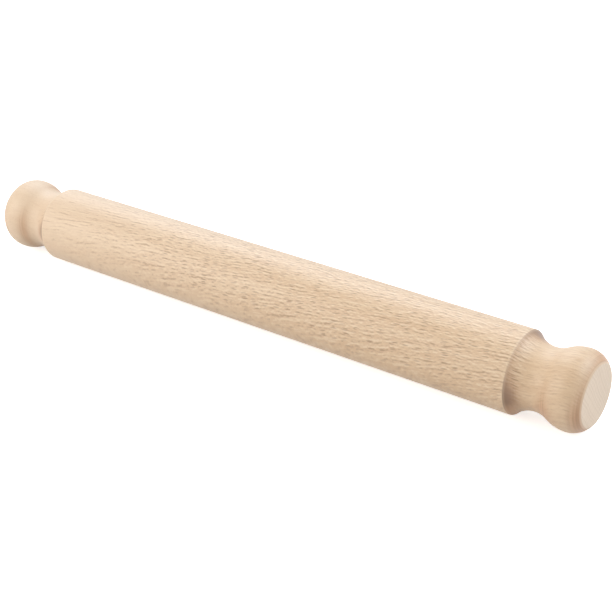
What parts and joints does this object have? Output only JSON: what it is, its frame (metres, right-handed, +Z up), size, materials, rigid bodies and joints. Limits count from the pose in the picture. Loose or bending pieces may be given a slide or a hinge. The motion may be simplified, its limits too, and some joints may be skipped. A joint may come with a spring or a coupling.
{
  "type": "rolling pin",
  "caption": "Solid turned wooden rolling pin for dough: straight cylindrical barrel with a necked knob handle at each end, flat end faces and softly sanded edges.",
  "frame": {"origin": "middle of the pin's turning axis, halfway between the end faces", "axes": "+X along the turning axis towards one end face, +Z up when the pin lies on a worktop"},
  "size_m": [0.35, 0.039, 0.039],
  "materials": {
    "beech": "sanded, unfinished"
  },
  "bodies": {
    "root": {"rolling_pin": "beech"}
  },
  "joints": []
}
